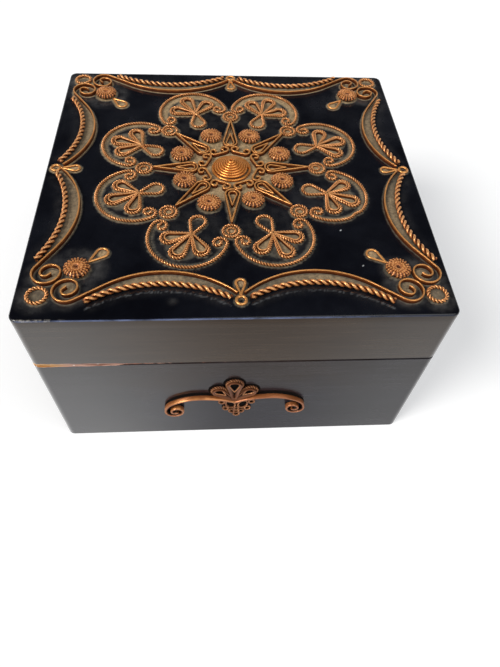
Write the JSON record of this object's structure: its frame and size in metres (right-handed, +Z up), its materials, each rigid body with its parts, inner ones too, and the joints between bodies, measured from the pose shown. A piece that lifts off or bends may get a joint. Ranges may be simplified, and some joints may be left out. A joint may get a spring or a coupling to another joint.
{
  "type": "jewelry box",
  "caption": "Square black-lacquered wooden box with a deep hinged lid that stops just past upright, its top and front decorated with coiled and twisted copper wire filigree.",
  "frame": {"origin": "middle of the underside of the box body, on the surface it stands on", "axes": "+Z up, -Y towards the front with the small ornament, +X to the right seen from the front"},
  "size_m": [0.15, 0.1503, 0.0901],
  "materials": {
    "black_lacquer": "wood with glossy black lacquer",
    "copper_wire": "drawn and twisted copper wire, darkened in the recesses",
    "hinge_brass": "plain brass sheet, slightly dulled",
    "velvet": "deep red velvet over card"
  },
  "bodies": {
    "base": {"base_back_board": "black_lacquer", "base_bottom_panel": "black_lacquer", "base_floor_pad": "velvet", "base_front_board": "black_lacquer", "base_left_board": "black_lacquer", "base_right_board": "black_lacquer", "front_bow": "copper_wire", "front_crown_petals": "copper_wire", "front_drop_rings": "copper_wire", "hinge_base_leaves": "hinge_brass", "hinge_base_screws": "hinge_brass", "hinge_pins": "hinge_brass"},
    "lid": {"border_knot_loops": "copper_wire", "border_knot_rings": "copper_wire", "border_ropes": "copper_wire", "border_strips": "copper_wire", "boss_coil": "copper_wire", "boss_scrolls": "copper_wire", "corner_loops": "copper_wire", "corner_rings": "copper_wire", "corner_rosettes": "copper_wire", "hinge_lid_leaves": "hinge_brass", "hinge_lid_screws": "hinge_brass", "lid_back_rail": "black_lacquer", "lid_front_rail": "black_lacquer", "lid_left_rail": "black_lacquer", "lid_pad": "velvet", "lid_right_rail": "black_lacquer", "lid_top_panel": "black_lacquer", "medallion_arcs": "copper_wire", "medallion_flowers": "copper_wire", "star_inner_drops": "copper_wire", "star_points": "copper_wire", "star_rosettes": "copper_wire", "star_tip_rings": "copper_wire"}
  },
  "joints": [
    {"name": "lid_hinge", "type": "hinge", "parent": "base", "child": "lid", "pos_m": [0, 0.072, 0.058], "axis": [-1, 0, 0], "range_deg": [0, 100]}
  ]
}
